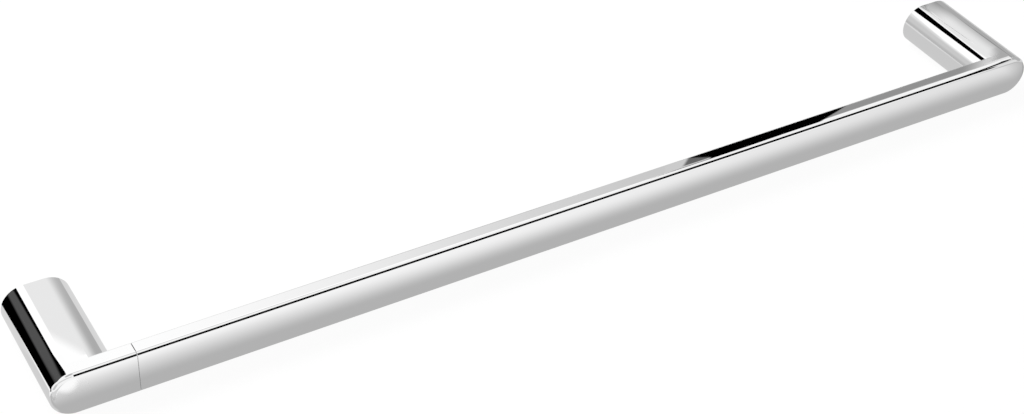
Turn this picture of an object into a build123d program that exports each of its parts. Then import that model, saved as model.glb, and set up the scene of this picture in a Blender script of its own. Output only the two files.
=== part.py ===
from build123d import *
import os

os.makedirs("parts", exist_ok=True)

# Overall sizes of the rail, in millimetres
rail_length = 600.0
rail_height = 25.0
projection = 71.0
post_width = 35.0
bar_depth = 9.0

# Rounding of the outer skin
front_edge_radius = 2.5
back_edge_radius = 0.8
wall_edge_break = 0.4

# Joints between the bar and the posts
joint_from_end = 43.3
seam_gap = 0.1
seam_edge_break = 0.15
tongue_length = 26.0
tongue_clearance = 0.15
tongue_lead_in = 0.6

# Wall thicknesses
post_wall = 3.0
front_wall = 4.0
bar_wall = 1.5
pocket_corner_radius = 2.0

# Wall brackets
bracket_thickness = 10.0
bracket_clearance = 0.5
wall_screw_hole_radius = 2.6
countersink_radius = 4.8

# Grub screws
grub_radius = 2.4
grub_thread_clearance = 0.1
grub_sunk = 0.5
grub_point_break = 0.5
grub_seat_depth = 2.0
grub_seat_clearance = 0.5
socket_across_flats = 2.5
socket_depth = 2.4

# How far a cutting shape runs past the face that it opens
cut_margin = 1.0

# Positions that follow from the sizes
half_height = rail_height / 2
half_post = post_width / 2
post_x = rail_length / 2 - half_post
joint_x = rail_length / 2 - joint_from_end
bar_back = projection - bar_depth
bar_mid = projection - bar_depth / 2
leg_reach = projection - front_edge_radius - back_edge_radius
pocket_width = post_width - 2 * post_wall
pocket_height = rail_height - 2 * post_wall
pocket_depth = projection - front_wall
bracket_width = pocket_width - 2 * bracket_clearance
bracket_height = pocket_height - 2 * bracket_clearance
grub_y = -bracket_thickness / 2
grub_bottom = -half_height + grub_sunk
grub_top = -bracket_height / 2 + grub_seat_depth
grub_length = grub_top - grub_bottom

# Outer skin: a flat obround front joined to the two legs
front = extrude(Plane.XZ.offset(bar_back) * SlotOverall(rail_length, rail_height), bar_depth)
front = fillet(front.faces().sort_by(Axis.Y)[0].edges(), front_edge_radius)
front = fillet(front.faces().sort_by(Axis.Y)[-1].edges(), back_edge_radius)


def leg(x):
    body = extrude(Plane.XZ * Pos(x, 0) * SlotOverall(post_width, rail_height), leg_reach)
    return chamfer(body.faces().sort_by(Axis.Y)[-1].edges(), wall_edge_break)


skin = front + leg(-post_x) + leg(post_x)

# Hollow of a leg, open at the wall
pocket = extrude(Plane.XZ * SlotOverall(pocket_width, pocket_height), pocket_depth)
pocket = fillet(pocket.faces().sort_by(Axis.Y)[0].edges(), pocket_corner_radius)

# Threaded hole under a leg for its grub screw
grub_hole_radius = grub_radius + grub_thread_clearance
grub_hole = Pos(0, grub_y, -half_height) * Cylinder(grub_hole_radius, 2 * (post_wall + cut_margin))

# Tongue that enters the bar, drawn for a joint on its left
tongue_height = rail_height - 2 * (bar_wall + tongue_clearance)
tongue_depth = bar_depth - 2 * (bar_wall + tongue_clearance)
tongue = Pos(tongue_length / 2, -bar_mid, 0) * Box(tongue_length, tongue_depth, tongue_height)
tongue = chamfer(tongue.faces().sort_by(Axis.X)[-1].edges(), tongue_lead_in)

# Left post: leg, elbow as far as the seam, and tongue
end_zone = Box(2 * joint_from_end, 2 * projection, 2 * rail_height)
left_post = skin & Pos(-rail_length / 2, -projection / 2, 0) * end_zone
left_post = chamfer(left_post.faces().sort_by(Axis.X)[-1].edges(), seam_edge_break)
left_post = left_post - Pos(-post_x, 0, 0) * pocket - Pos(-post_x, 0, 0) * grub_hole
left_post = left_post + Pos(-joint_x, 0, 0) * tongue
export_step(left_post, "parts/left_post.step")

# Right post: the same casting mirrored, its joint brazed and polished flush
right_post = skin & Pos(rail_length / 2, -projection / 2, 0) * end_zone
right_post = right_post - Pos(post_x, 0, 0) * pocket - Pos(post_x, 0, 0) * grub_hole
right_post = right_post + mirror(Pos(-joint_x, 0, 0) * tongue, Plane.YZ)
export_step(right_post, "parts/right_post.step")

# Bar: a flat tube from the seam on the left to the flush joint on the right
bar_start = -joint_x + seam_gap
bar_length = joint_x - bar_start
bar_centre = (joint_x + bar_start) / 2
bar = skin & Pos(bar_centre, -projection / 2, 0) * Box(bar_length, 2 * projection, 2 * rail_height)
bar = chamfer(bar.faces().sort_by(Axis.X)[0].edges(), seam_edge_break)
bore_length = bar_length + 2 * cut_margin
bore_depth = bar_depth - 2 * bar_wall
bore_height = rail_height - 2 * bar_wall
bar = bar - Pos(bar_centre, -bar_mid, 0) * Box(bore_length, bore_depth, bore_height)
export_step(bar, "parts/bar.step")

# Wall bracket: a block that fills the mouth of a leg, with a countersunk hole and a seat for the screw
bracket = extrude(Plane.XZ * SlotOverall(bracket_width, bracket_height), bracket_thickness)
countersink_depth = countersink_radius - wall_screw_hole_radius
bracket = bracket - extrude(Plane.XZ * Circle(wall_screw_hole_radius), bracket_thickness)
bracket = bracket - Plane.XZ.offset(bracket_thickness - countersink_depth / 2) * Cone(
    wall_screw_hole_radius, countersink_radius, countersink_depth
)
grub_seat_radius = grub_radius + grub_seat_clearance
bracket = bracket - Pos(0, grub_y, -bracket_height / 2) * Cylinder(grub_seat_radius, 2 * grub_seat_depth)
export_step(Pos(-post_x, 0, 0) * bracket, "parts/left_bracket.step")
export_step(Pos(post_x, 0, 0) * bracket, "parts/right_bracket.step")

# Grub screws: one under each post, with a hexagon socket at the lower end
grub = Pos(0, grub_y, (grub_bottom + grub_top) / 2) * Cylinder(grub_radius, grub_length)
grub = chamfer(grub.faces().sort_by(Axis.Z)[-1].edges(), grub_point_break)
socket = RegularPolygon(socket_across_flats / 2, 6, major_radius=False)
grub = grub - extrude(Plane((0, grub_y, grub_bottom)) * socket, socket_depth)
grub_screws = Compound(children=[Pos(-post_x, 0, 0) * grub, Pos(post_x, 0, 0) * grub])
export_step(grub_screws, "parts/grub_screws.step")
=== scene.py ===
import math

import bpy
from mathutils import Matrix, Vector


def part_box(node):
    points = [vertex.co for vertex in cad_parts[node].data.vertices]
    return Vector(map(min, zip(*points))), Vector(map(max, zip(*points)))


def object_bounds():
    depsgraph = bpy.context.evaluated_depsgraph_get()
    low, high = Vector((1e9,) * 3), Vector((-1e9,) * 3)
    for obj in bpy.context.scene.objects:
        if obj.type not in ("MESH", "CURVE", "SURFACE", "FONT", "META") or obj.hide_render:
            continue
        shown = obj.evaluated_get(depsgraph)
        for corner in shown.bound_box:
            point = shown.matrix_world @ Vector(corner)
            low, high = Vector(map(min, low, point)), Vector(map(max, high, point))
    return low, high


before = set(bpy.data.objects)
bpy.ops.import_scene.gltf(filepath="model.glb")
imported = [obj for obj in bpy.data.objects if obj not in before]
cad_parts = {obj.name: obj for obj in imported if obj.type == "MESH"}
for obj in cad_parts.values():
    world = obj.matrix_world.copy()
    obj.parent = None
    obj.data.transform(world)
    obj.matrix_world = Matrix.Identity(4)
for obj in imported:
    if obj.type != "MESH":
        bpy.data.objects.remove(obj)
cad_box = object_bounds()


# Posts: two hollow zinc castings that turn the rail to the wall and slide over the brackets. Their outside
# is ground, polished and chrome plated. The hollow, a little larger than the bracket, is left dull and
# grainy, as it came out of the die.
bracket_low, bracket_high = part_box("right_bracket")
bracket_width = bracket_high[0] - bracket_low[0]
bracket_height = bracket_high[2] - bracket_low[2]
room_round_bracket = 0.001
front_skin = 0.0025
post_middle_x = (bracket_low[0] + bracket_high[0]) / 2
post_flat_half = (bracket_width - bracket_height) / 2
hollow_radius = bracket_height / 2 + room_round_bracket
hollow_end_y = cad_box[0][1] + front_skin
chrome_colour = (0.90, 0.90, 0.902, 1.0)
chrome_clouds_per_metre = 22.0
chrome_line_depth = 0.004
chrome_relief = {"Strength": 0.25, "Distance": 0.0002}
cast_colour = (0.36, 0.36, 0.37, 1.0)
cast_pits_per_metre = 700.0


def feed(tree, node, inputs):
    for socket, value in inputs.items():
        if isinstance(value, bpy.types.NodeSocket):
            tree.links.new(value, node.inputs[socket])
        else:
            node.inputs[socket].default_value = value


def place(tree, kind, inputs=None, **settings):
    node = tree.nodes.new("ShaderNode" + kind)
    for setting, value in settings.items():
        setattr(node, setting, value)
    feed(tree, node, inputs or {})
    return node


def maths(tree, operation, *values):
    return place(tree, "Math", dict(enumerate(values)), operation=operation).outputs[0]


# A Mix node numbers its sockets by kind: the first value, the second value and the result.
mix_sockets = {"FLOAT": (2, 3, 0), "RGBA": (6, 7, 2)}


def mix(tree, kind, mask, first, second):
    first_at, second_at, result_at = mix_sockets[kind]
    node = place(tree, "Mix", {"Factor": mask, first_at: first, second_at: second}, data_type=kind)
    return node.outputs[result_at]


def new_finish(name):
    finish = bpy.data.materials.new(name)
    finish.use_nodes = True
    tree = finish.node_tree
    return finish, tree, tree.nodes["Principled BSDF"]


def new_effect(name, takes, gives):
    tree = bpy.data.node_groups.new(name, "ShaderNodeTree")
    for label, kind in takes.items():
        tree.interface.new_socket(label, in_out="INPUT", socket_type="NodeSocket" + kind)
    for label, kind in gives.items():
        tree.interface.new_socket(label, in_out="OUTPUT", socket_type="NodeSocket" + kind)
    return tree, tree.nodes.new("NodeGroupInput").outputs, tree.nodes.new("NodeGroupOutput")


# Polishing marks: cloudy patches where the wheel or a cloth has passed, and fine lines along its stroke.
polish_lines_per_metre = 900.0
polish_line_share = 0.35
polish, taken, given = new_effect(
    "polishing_marks",
    takes={"Position": "Vector", "Stroke Stretch": "Vector", "Clouds per Metre": "Float",
           "Smoothest": "Float", "Roughest": "Float"},
    gives={"Roughness": "Float", "Height": "Float"},
)
clouds = place(polish, "TexNoise", {"Vector": taken["Position"], "Scale": taken["Clouds per Metre"],
                                    "Detail": 3.0}).outputs[0]
stroke = place(polish, "VectorMath", {0: taken["Position"], 1: taken["Stroke Stretch"]},
               operation="MULTIPLY").outputs[0]
lines = place(polish, "TexNoise", {"Vector": stroke, "Scale": polish_lines_per_metre,
                                   "Detail": 2.0}).outputs[0]
blend = maths(polish, "MULTIPLY_ADD", lines, polish_line_share, clouds)
spread = place(polish, "MapRange", {"Value": blend, "From Min": 0.45, "From Max": 0.95,
                                    "To Min": taken["Smoothest"], "To Max": taken["Roughest"]})
feed(polish, given, {"Roughness": spread.outputs[0], "Height": lines})


def polishing_marks(tree, position, stroke_stretch, clouds_per_metre, smoothest, roughest):
    node = place(tree, "Group", {
        "Position": position,
        "Stroke Stretch": stroke_stretch,
        "Clouds per Metre": clouds_per_metre,
        "Smoothest": smoothest,
        "Roughest": roughest,
    }, node_tree=polish)
    return node.outputs


post_finish, tree, shader = new_finish("post_chrome")
position = place(tree, "TexCoord").outputs["Object"]
axes = place(tree, "SeparateXYZ", {"Vector": position}).outputs
from_rail_middle = maths(tree, "ABSOLUTE", axes["X"])
from_post_middle = maths(tree, "ABSOLUTE", maths(tree, "SUBTRACT", from_rail_middle, post_middle_x))
past_flat = maths(tree, "MAXIMUM", maths(tree, "SUBTRACT", from_post_middle, post_flat_half), 0.0)
across_post = place(tree, "CombineXYZ", {"X": past_flat, "Y": axes["Z"]}).outputs[0]
radius = place(tree, "VectorMath", {0: across_post}, operation="LENGTH").outputs["Value"]
within_radius = maths(tree, "LESS_THAN", radius, hollow_radius)
behind_front = maths(tree, "GREATER_THAN", axes["Y"], hollow_end_y)
in_hollow = maths(tree, "MULTIPLY", within_radius, behind_front)
marks = polishing_marks(tree, position, stroke_stretch=(1.0, 0.06, 1.0),
                        clouds_per_metre=chrome_clouds_per_metre, smoothest=0.006, roughest=0.016)
pits = place(tree, "TexNoise", {"Vector": position, "Scale": cast_pits_per_metre, "Detail": 5.0}).outputs[0]
cast_roughness = place(tree, "MapRange", {"Value": pits, "To Min": 0.45, "To Max": 0.8}).outputs[0]
pit_height = maths(tree, "MULTIPLY", pits, in_hollow)
height = maths(tree, "MULTIPLY_ADD", marks["Height"], chrome_line_depth, pit_height)
feed(tree, shader, {
    "Base Color": mix(tree, "RGBA", in_hollow, chrome_colour, cast_colour),
    "Roughness": mix(tree, "FLOAT", in_hollow, marks["Roughness"], cast_roughness),
    "Normal": place(tree, "Bump", {**chrome_relief, "Height": height}).outputs[0],
    "Metallic": 1.0,
})
for name in ("left_post", "right_post"):
    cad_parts[name].data.materials[0] = post_finish


# Bar: a flat drawn brass tube between the posts, pushed over their tongues and brazed to the right one.
# It is polished lengthwise, so the faint lines left by the wheel run along it, and chrome plated.
bar_finish, tree, shader = new_finish("bar_chrome")
position = place(tree, "TexCoord").outputs["Object"]
marks = polishing_marks(tree, position, stroke_stretch=(0.03, 1.0, 1.0),
                        clouds_per_metre=chrome_clouds_per_metre, smoothest=0.005, roughest=0.012)
height = maths(tree, "MULTIPLY", marks["Height"], chrome_line_depth)
feed(tree, shader, {
    "Base Color": chrome_colour,
    "Roughness": marks["Roughness"],
    "Normal": place(tree, "Bump", {**chrome_relief, "Height": height}).outputs[0],
    "Metallic": 1.0,
})
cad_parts["bar"].data.materials[0] = bar_finish


# Wall brackets: two steel blocks screwed to the wall through a countersunk hole, hidden in the mouths of
# the posts. They are sawn from bar and zinc plated, which leaves a dull crystalline bloom over the saw
# marks.
zinc_dark = (0.42, 0.42, 0.41, 1.0)
zinc_light = (0.62, 0.62, 0.60, 1.0)
zinc_crystals_per_metre = 450.0

bracket_finish, tree, shader = new_finish("zinc_plated_steel")
position = place(tree, "TexCoord").outputs["Object"]
marks = polishing_marks(tree, position, stroke_stretch=(0.05, 1.0, 1.0),
                        clouds_per_metre=120.0, smoothest=0.30, roughest=0.55)
crystals = place(tree, "TexVoronoi", {"Vector": position, "Scale": zinc_crystals_per_metre}).outputs["Color"]
relief = place(tree, "Bump", {"Strength": 0.3, "Distance": 0.0001, "Height": marks["Height"]})
feed(tree, shader, {
    "Base Color": mix(tree, "RGBA", crystals, zinc_dark, zinc_light),
    "Roughness": marks["Roughness"],
    "Normal": relief.outputs[0],
    "Metallic": 1.0,
})
for name in ("left_bracket", "right_bracket"):
    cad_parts[name].data.materials[0] = bracket_finish


# Grub screws: two short stainless screws, turned up through the underside of the posts with a hexagon key.
# They press on the brackets and lock the rail to the wall. Their rolled thread shows as fine rings, coloured
# darker in the roots than on the crests.
steel_colour = (0.50, 0.50, 0.50, 1.0)
thread_root_colour = (0.30, 0.30, 0.30, 1.0)
thread_rings_per_metre = 1250.0

grub_finish, tree, shader = new_finish("stainless_steel")
position = place(tree, "TexCoord").outputs["Object"]
axes = place(tree, "SeparateXYZ", {"Vector": position}).outputs
turns = maths(tree, "MULTIPLY", axes["Z"], thread_rings_per_metre * 2.0 * math.pi)
thread = maths(tree, "SINE", turns)
crest = place(tree, "MapRange", {"Value": thread, "From Min": -1.0, "From Max": 1.0}).outputs[0]
marks = polishing_marks(tree, position, stroke_stretch=(1.0, 1.0, 1.0),
                        clouds_per_metre=400.0, smoothest=0.20, roughest=0.38)
relief = place(tree, "Bump", {"Strength": 0.4, "Distance": 0.0002, "Height": thread})
feed(tree, shader, {
    "Base Color": mix(tree, "RGBA", crest, thread_root_colour, steel_colour),
    "Roughness": marks["Roughness"],
    "Normal": relief.outputs[0],
    "Metallic": 1.0,
})
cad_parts["grub_screws"].data.materials[0] = grub_finish


# Floor: a wide pale painted board that the rail lies on. The camera and the chrome see it almost white,
# with a faint shadow of the rail, and a camera below it looks through it at the underside.
floor_gap = 0.0001
floor_z = cad_box[0][2] - floor_gap
floor_half = 4.0
floor_colour = (0.85, 0.85, 0.85, 1.0)
floor_whiteness = 0.94
white = (1.0, 1.0, 1.0, 1.0)


def seen_or_mirrored(tree, rays):
    seen = maths(tree, "MAXIMUM", rays["Is Camera Ray"], rays["Is Glossy Ray"])
    return maths(tree, "MAXIMUM", seen, rays["Is Transmission Ray"])


floor_mesh = bpy.data.meshes.new("floor")
floor_mesh.from_pydata(
    [(-floor_half, -floor_half, floor_z), (floor_half, -floor_half, floor_z),
     (floor_half, floor_half, floor_z), (-floor_half, floor_half, floor_z)],
    [], [(0, 1, 2, 3)],
)
floor = bpy.data.objects.new("floor", floor_mesh)
bpy.context.scene.collection.objects.link(floor)
floor_paint = bpy.data.materials.new("floor_paint")
floor_paint.use_nodes = True
tree = floor_paint.node_tree
tree.nodes.clear()
rays = place(tree, "LightPath").outputs
whitened = maths(tree, "MULTIPLY", seen_or_mirrored(tree, rays), floor_whiteness)
paint = place(tree, "BsdfDiffuse", {"Color": floor_colour}).outputs[0]
glow = place(tree, "Emission", {"Color": white, "Strength": 1.0}).outputs[0]
above = place(tree, "MixShader", {0: whitened, 1: paint, 2: glow}).outputs[0]
underside = place(tree, "NewGeometry").outputs["Backfacing"]
from_below = maths(tree, "MULTIPLY", underside, rays["Is Camera Ray"])
clear = place(tree, "BsdfTransparent").outputs[0]
shown = place(tree, "MixShader", {0: from_below, 1: above, 2: clear}).outputs[0]
place(tree, "OutputMaterial", {"Surface": shown})
floor_mesh.materials.append(floor_paint)


# Tent and lamp: white cloth all round, which lights the rail evenly, and one soft box hung high behind it
# on the left. The chrome mirrors the cloth as plain white and does not show the lamp.
tent_light = 0.6
tent_whiteness = 1.0
lamp_width = 1.2
lamp_height = 0.65
lamp_watts = 30.0
lamp_spot = Vector((-0.45, 0.82, 1.26))
lamp_target = Vector((-0.1, 0.0, 0.0))

tent = bpy.data.worlds.new("studio_tent")
bpy.context.scene.world = tent
tent.use_nodes = True
tree = tent.node_tree
seen = seen_or_mirrored(tree, place(tree, "LightPath").outputs)
level = place(tree, "MapRange", {"Value": seen, "To Min": tent_light, "To Max": tent_whiteness}).outputs[0]
feed(tree, tree.nodes["Background"], {"Color": white, "Strength": level})

lamp = bpy.data.lights.new("back_lamp", "AREA")
lamp.shape = "RECTANGLE"
lamp.size = lamp_width
lamp.size_y = lamp_height
lamp.energy = lamp_watts
back_lamp = bpy.data.objects.new("back_lamp", lamp)
back_lamp.location = lamp_spot
back_lamp.rotation_euler = (lamp_target - lamp_spot).to_track_quat("-Z", "Y").to_euler()
back_lamp.visible_glossy = False
bpy.context.scene.collection.objects.link(back_lamp)


# Back panel: a wide glowing white plane behind the rail, brighter than white, the first of the cards that
# only the chrome sees.
# The cards are flat planes that glow with a set tone of black, grey or white and paint reflections into the
# metal: light ones paint highlights, dark and grey ones paint shade, and their soft or slanted edges paint
# the bands of a studio picture. The next sections have the cards for each part of the rail.
no_colour = (0.0, 0.0, 0.0, 1.0)
sharp = (0.003, 0.003, 0.003, 0.003)
facing_front = (0.0, -1.0, 0.0)

soft_edge, taken, given = new_effect(
    "soft_edge",
    takes={"Along": "Float", "Half": "Float", "Low Blur": "Float", "High Blur": "Float"},
    gives={"Mask": "Float"},
)
past_low = maths(soft_edge, "ADD", taken["Half"], taken["Along"])
before_high = maths(soft_edge, "SUBTRACT", taken["Half"], taken["Along"])
rise = place(soft_edge, "MapRange", {"Value": past_low, "From Max": taken["Low Blur"]},
             interpolation_type="SMOOTHSTEP").outputs[0]
fall = place(soft_edge, "MapRange", {"Value": before_high, "From Max": taken["High Blur"]},
             interpolation_type="SMOOTHSTEP").outputs[0]
feed(soft_edge, given, {"Mask": maths(soft_edge, "MULTIPLY", rise, fall)})


# A card's outline, as a mask. The blur is that of its left, right, lower and upper edge, seen from its
# face, and the lean moves it to the right with its height.
def leaning_outline(tree, axes, half_x, half_y, blur, lean):
    left, right, lower, upper = blur
    sideways = maths(tree, "MULTIPLY_ADD", axes["Y"], -lean, axes["X"])
    across = place(tree, "Group", {"Along": sideways, "Half": half_x, "Low Blur": left,
                                   "High Blur": right}, node_tree=soft_edge).outputs[0]
    upwards = place(tree, "Group", {"Along": axes["Y"], "Half": half_y, "Low Blur": lower,
                                    "High Blur": upper}, node_tree=soft_edge).outputs[0]
    return maths(tree, "MULTIPLY", across, upwards)


# A card glows with its tone and is seen only in the chrome, so it paints a reflection there. A strength
# under 1 lets part of what is behind it through, so a dark card of that kind paints shade over what the
# chrome mirrors. A ramp paints its tone along the rail as a gradient, from one X to another, up to a second
# tone.
def card(name, spot, size, tone, facing=None, blur=sharp, ramp=None, lean=0.0, strength=1.0,
         outline=leaning_outline):
    half_x, half_y = size[0] / 2, size[1] / 2
    side = half_x + abs(lean) * half_y
    mesh = bpy.data.meshes.new(name)
    mesh.from_pydata([(-side, -half_y, 0), (side, -half_y, 0), (side, half_y, 0), (-side, half_y, 0)],
                     [], [(0, 1, 2, 3)])
    panel = bpy.data.objects.new(name, mesh)
    panel.location = spot
    if facing:
        panel.rotation_euler = Vector(facing).to_track_quat("Z", "Y").to_euler()
    cover, tree, shader = new_finish(name)
    axes = place(tree, "SeparateXYZ", {"Vector": place(tree, "TexCoord").outputs["Object"]}).outputs
    mask = outline(tree, axes, half_x, half_y, blur, lean)
    feed(tree, shader, {
        "Base Color": no_colour,
        "Specular IOR Level": 0.0,
        "Emission Color": white,
        "Emission Strength": tone,
        "Alpha": maths(tree, "MULTIPLY", mask, strength),
    })
    if ramp:
        start_x, end_x, end_tone = ramp
        shade = place(tree, "MapRange", {"Value": axes["X"], "From Min": start_x - spot[0],
                                         "From Max": end_x - spot[0], "To Min": tone, "To Max": end_tone},
                      interpolation_type="SMOOTHSTEP").outputs[0]
        feed(tree, shader, {"Emission Color": shade, "Emission Strength": 1.0})
    mesh.materials.append(cover)
    panel.visible_camera = False
    panel.visible_diffuse = False
    panel.visible_shadow = False
    panel.visible_transmission = False
    bpy.context.scene.collection.objects.link(panel)


def standing(name, across, up, back, tone, facing=facing_front, **more):
    spot = ((across[0] + across[1]) / 2, back, (up[0] + up[1]) / 2)
    card(name, spot, (across[1] - across[0], up[1] - up[0]), tone, facing, **more)


standing("back_panel", across=(-1.6, 1.4), up=(0.3, 2.4), back=0.95, tone=1.15, blur=(0.3, 0.3, 0.05, 0.3))


# Cards for the left post, which paint its reflections: a black board behind the rail on the left paints its
# dark band, with a faint painted sheen inside it, a pale one in the middle that greys to the right paints
# the light and shade of its flat top, a white one paints the highlight on the corner next to the bar, and
# black and grey sheets lying on the floor paint the dark and grey reflections on its flank.
black = 0.0
card_step = 0.0001
strip_low = 0.4575


def layer(count):
    return floor_z + count * card_step


def lying(name, across, deep, up, tone, **more):
    spot = ((across[0] + across[1]) / 2, (deep[0] + deep[1]) / 2, up)
    card(name, spot, (across[1] - across[0], deep[1] - deep[0]), tone, **more)


card_foot = layer(4)
standing("left_flag", across=(-0.95, -0.382), up=(card_foot, 0.56), back=0.400, tone=black,
         blur=(0.05, 0.005, 0.0005, 0.05), lean=-0.263)
standing("left_flag_lip", across=(-0.50, -0.392), up=(0.433, 0.480), back=0.3995, tone=black,
         blur=(0.01, 0.005, 0.0005, 0.01), lean=1.5)
standing("left_flag_sheen", across=(-0.80, -0.47), up=(0.12, 0.43), back=0.399, tone=0.088,
         blur=(0.13, 0.05, 0.08, 0.06))
standing("left_light", across=(-0.205, 0.42), up=(card_foot, strip_low), back=0.402, tone=0.89,
         blur=(0.012, 0.05, 0.0005, 0.002), ramp=(-0.14, 0.16, 0.45))
standing("left_corner", across=(-0.32, -0.163), up=(0.395, 0.475), back=0.401, tone=1.12,
         blur=(0.01, 0.013, 0.0005, 0.0005), lean=0.8)
lying("floor_black", across=(-0.95, -0.37), deep=(-0.03, 0.60), up=layer(4), tone=black)
lying("floor_black_edge", across=(-0.46, -0.306), deep=(-0.03, 0.14), up=layer(5), tone=black, lean=0.8)
lying("floor_grey", across=(-0.336, 0.80), deep=(-0.055, 0.45), up=layer(4), tone=0.73,
      ramp=(0.02, 0.19, 0.64))


# Cards for the top of the bar: a row of low glowing strips behind the rail, at the height that its flat top
# mirrors, which paint the reflections along that top. From the left they are a light one that greys to the
# right, slanted black ones that overlap, and a grey one below a white one as far as the right post, which
# paint its grey band and its highlight.
strip_high = 0.4675
standing("strip_black_tip", across=(0.431, 0.56), up=(0.4550, 0.4668), back=0.3992, tone=black,
         blur=(0.006, 0.003, 0.0005, 0.001), lean=-0.60, strength=0.78)
standing("strip_black_left", across=(0.4370, 0.56), up=(0.4500, strip_high), back=0.3985, tone=black,
         blur=(0.006, 0.003, 0.0005, 0.001), lean=3.3)
standing("strip_black_right", across=(0.50, 0.612), up=(strip_low, strip_high), back=0.3988, tone=black,
         blur=(0.003, 0.006, 0.0005, 0.001), lean=-3.2)
standing("strip_grey", across=(0.57, 0.83), up=(strip_low, strip_high), back=0.400, tone=0.315,
         blur=(0.01, 0.06, 0.0005, 0.001))
standing("strip_white", across=(0.57, 0.90), up=(strip_high, 0.476), back=0.400, tone=1.15,
         blur=(0.01, 0.02, 0.0005, 0.004))
standing("strip_light", across=(-0.40, 0.47), up=(strip_low, 0.490), back=0.4005, tone=1.10,
         blur=(0.05, 0.005, 0.0005, 0.012), ramp=(-0.15, 0.42, 0.66))


# Cards for the right post, which paint its reflections: grey boards behind it, to its right and close to its
# inner flank paint the shade on its flanks, darker near the floor, a black one paints the dark line along it
# with a light sheet lying on the floor beside that line, a light board higher up paints a highlight, and two
# dark see-through cards paint shade over the tone of its rim.
facing_left = (-1.0, 0.0, 0.0)
facing_right = (1.0, 0.0, 0.0)


def beside(name, deep, up, along, tone, facing, **more):
    spot = (along, (deep[0] + deep[1]) / 2, (up[0] + up[1]) / 2)
    card(name, spot, (deep[1] - deep[0], up[1] - up[0]), tone, facing, **more)


standing("right_grey", across=(0.5355, 1.60), up=(card_foot, 0.467), back=0.402, tone=0.44,
         blur=(0.020, 0.05, 0.0005, 0.001), lean=1.22)
standing("right_grey_top", across=(0.806, 1.60), up=(0.447, 0.467), back=0.4018, tone=0.44,
         blur=(0.024, 0.05, 0.004, 0.001))
# Painted shade: two dark see-through cards that darken the mirrored rim of the right post.
standing("right_rim_painted_shade", across=(0.60, 0.95), up=(0.345, 0.396), back=0.4015, tone=black,
         blur=(0.02, 0.05, 0.012, 0.030), strength=0.38)
standing("right_rim_painted_shade_left", across=(0.298, 0.336), up=(0.045, 0.083), back=0.05, tone=black,
         blur=(0.006, 0.005, 0.005, 0.016), strength=0.45)
standing("right_light", across=(0.46, 0.88), up=(0.33, 0.68), back=0.404, tone=0.88,
         blur=(0.05, 0.02, 0.02, 0.05))
standing("right_line", across=(0.2270, 0.3268), up=(0.14, 0.33), back=0.12, tone=black)
beside("right_side", deep=(-0.60, 0.35), up=(card_foot, 0.745), along=0.95, tone=0.48, facing=facing_left,
       blur=(0.04, 0.05, 0.0005, 0.015))
beside("right_inner", deep=(0.03, 0.17), up=(0.0, 0.187), along=0.12, tone=0.64, facing=facing_right,
       blur=(0.004, 0.004, 0.003, 0.09))
beside("right_inner_foot", deep=(0.03, 0.17), up=(0.0, 0.060), along=0.1205, tone=0.52, facing=facing_right,
       blur=(0.004, 0.004, 0.003, 0.045))
lying("right_line_light", across=(0.09, 0.185), deep=(0.040, 0.30), up=layer(5), tone=0.79,
      blur=(0.01, 0.004, 0.008, 0.02))


# Cards for the front: tall black boards in front of the rail, which its rounded front edge mirrors as a thin
# dark line, and glowing sheets lying on the floor, which paint into the flat front a mirrored floor that is
# white further out and carries a painted shadow of the rail close to it. Small ones paint the highlights and
# shade on its two round ends.
facing_wall = (0.0, 1.0, 0.0)
flag_turn = math.radians(15.0)
faint_flag_turn = math.radians(-35.0)
floor_card_edge_y = -0.066


def facing_rail(turn):
    return (-math.sin(turn), math.cos(turn), 0.0)


def oval_outline(tree, axes, half_x, half_y, blur, _lean):
    share_x = maths(tree, "DIVIDE", axes["X"], half_x)
    share_y = maths(tree, "DIVIDE", axes["Y"], half_y)
    share = place(tree, "CombineXYZ", {"X": share_x, "Y": share_y}).outputs[0]
    outwards = place(tree, "VectorMath", {0: share}, operation="LENGTH").outputs["Value"]
    edge = place(tree, "MapRange", {"Value": outwards, "From Min": 1.0 - blur[0] / half_x, "From Max": 1.0,
                                    "To Min": 1.0, "To Max": 0.0}, interpolation_type="SMOOTHSTEP")
    return edge.outputs[0]


card("front_flag_left", spot=(0.4640, -1.2896, 1.24), size=(0.935, 1.68), tone=black,
     facing=facing_rail(flag_turn), blur=(0.01, 0.03, 0.03, 0.03), lean=-0.12)
card("front_flag_right", spot=(0.989, -1.149, 1.20), size=(1.352, 1.76), tone=black,
     facing=facing_rail(flag_turn), blur=(0.02, 0.01, 0.03, 0.03), lean=-0.52)
card("front_flag_faint", spot=(-1.04, -1.13, 1.15), size=(2.4, 0.8), tone=black,
     facing=facing_rail(faint_flag_turn), blur=(0.1, 0.1, 0.1, 0.1), strength=0.3)
# Painted light: the lit floor in front of the rail as the chrome mirrors it, white on the left and greyer to
# the right.
lying("front_white", across=(-0.42, 0.42), deep=(-0.24, floor_card_edge_y), up=layer(1), tone=1.01,
      blur=(0.05, 0.05, 0.08, 0.0005), ramp=(-0.15, 0.30, 0.84))
# Painted shadow: the rail's shadow on the floor close to its front, as the chrome mirrors it; the next card
# is painted shade over its left part.
lying("front_shade", across=(-0.40, 0.40), deep=(-0.0932, floor_card_edge_y), up=layer(2), tone=0.49,
      blur=(0.01, 0.01, 0.015, 0.0005))
lying("front_painted_shade_left", across=(-0.40, 0.02), deep=(-0.0960, -0.0775), up=layer(3), tone=black,
      blur=(0.01, 0.29, 0.007, 0.011), strength=0.14)
# Painted highlight on the front of the left end, then painted shade below it and a painted grey on its ring.
lying("left_end_white", across=(-0.2963, -0.2767), deep=(-0.1255, -0.0845), up=layer(4), tone=1.07,
      blur=(0.0026,), outline=oval_outline)
lying("left_end_painted_shade", across=(-0.60, -0.295), deep=(-0.19, -0.0835), up=layer(5), tone=black,
      blur=(0.01, 0.003, 0.02, 0.004), strength=0.28)
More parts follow.
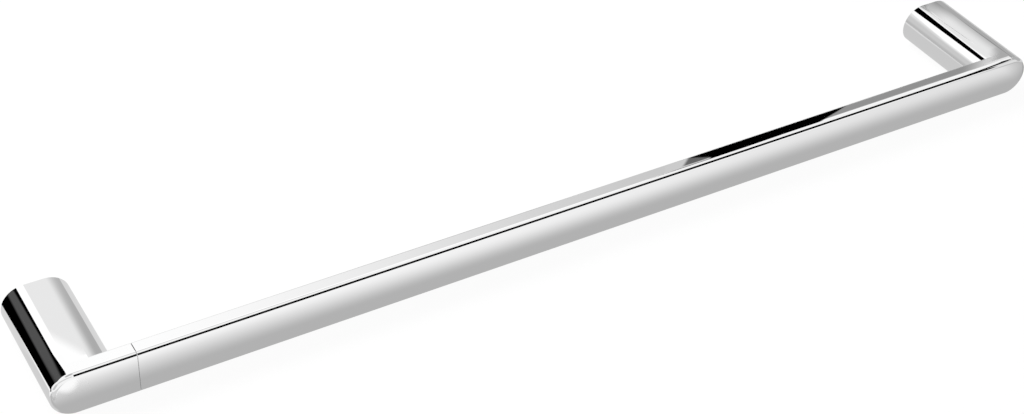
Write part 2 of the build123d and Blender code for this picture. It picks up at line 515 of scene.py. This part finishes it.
lying("left_ring_grey", across=(-0.333, -0.296), deep=(-0.078, -0.01), up=layer(6), tone=0.68,
      blur=(0.004, 0.003, 0.008, 0.01))
# Painted shade on the front of the right end, then a dark card and a light one that paint its shade and
# highlight.
lying("right_end_painted_shade", across=(0.302, 0.60), deep=(-0.30, floor_card_edge_y), up=layer(4), tone=black,
      blur=(0.020, 0.01, 0.01, 0.0005), strength=0.35)
beside("right_end_flag", deep=(-0.1833, -0.0643), up=(0.108, 0.152), along=0.37, tone=black,
       facing=facing_left, blur=(0.005, 0.005, 0.003, 0.004), lean=2.2)
standing("right_end_light", across=(0.3599, 0.4599), up=(-0.01, 0.15), back=-0.16, tone=0.80,
         facing=facing_wall, blur=(0.01, 0.007, 0.003, 0.01), lean=-0.45)


# Cards for the other sides: large glowing grey boards overhead and far to the left. They paint a soft grey
# reflection into the top and the back of the chrome when the rail is seen from there.
lying("overhead_back", across=(-1.2, 0.75), deep=(0.20, 0.68), up=2.20, tone=0.5, blur=(0.3, 0.2, 0.1, 0.1))
lying("overhead_left", across=(-1.2, 0.15), deep=(-1.0, 0.25), up=2.21, tone=0.5,
      blur=(0.3, 0.35, 0.3, 0.05))
beside("far_left", deep=(-1.20, 0.10), up=(0.05, 0.90), along=-1.6, tone=0.6, facing=facing_right,
       blur=(0.3, 0.15, 0.1, 0.3))


# Camera: stands in front of the rail, to its left and well above it, looks along it to the right and leans
# a little to one side. Its angles are in radians.
camera_spot = Vector((-0.44818, -0.68928, 0.61662))
camera_turn_right = 0.566063
camera_look_down = 0.677844
camera_lean = 0.060505
camera_lens_mm = 65.341
camera_film_mm = 36.0
camera_near_limit = 0.01

camera = bpy.data.objects.new("camera", bpy.data.cameras.new("camera"))
camera.data.sensor_width = camera_film_mm
camera.data.lens = camera_lens_mm
camera.data.clip_start = camera_near_limit
camera.matrix_world = (
    Matrix.Translation(camera_spot)
    @ Matrix.Rotation(-camera_turn_right, 4, "Z")
    @ Matrix.Rotation(math.pi / 2 - camera_look_down, 4, "X")
    @ Matrix.Rotation(camera_lean, 4, "Z")
)
bpy.context.scene.collection.objects.link(camera)
bpy.context.scene.camera = camera
bpy.context.scene.view_settings.view_transform = "Standard"
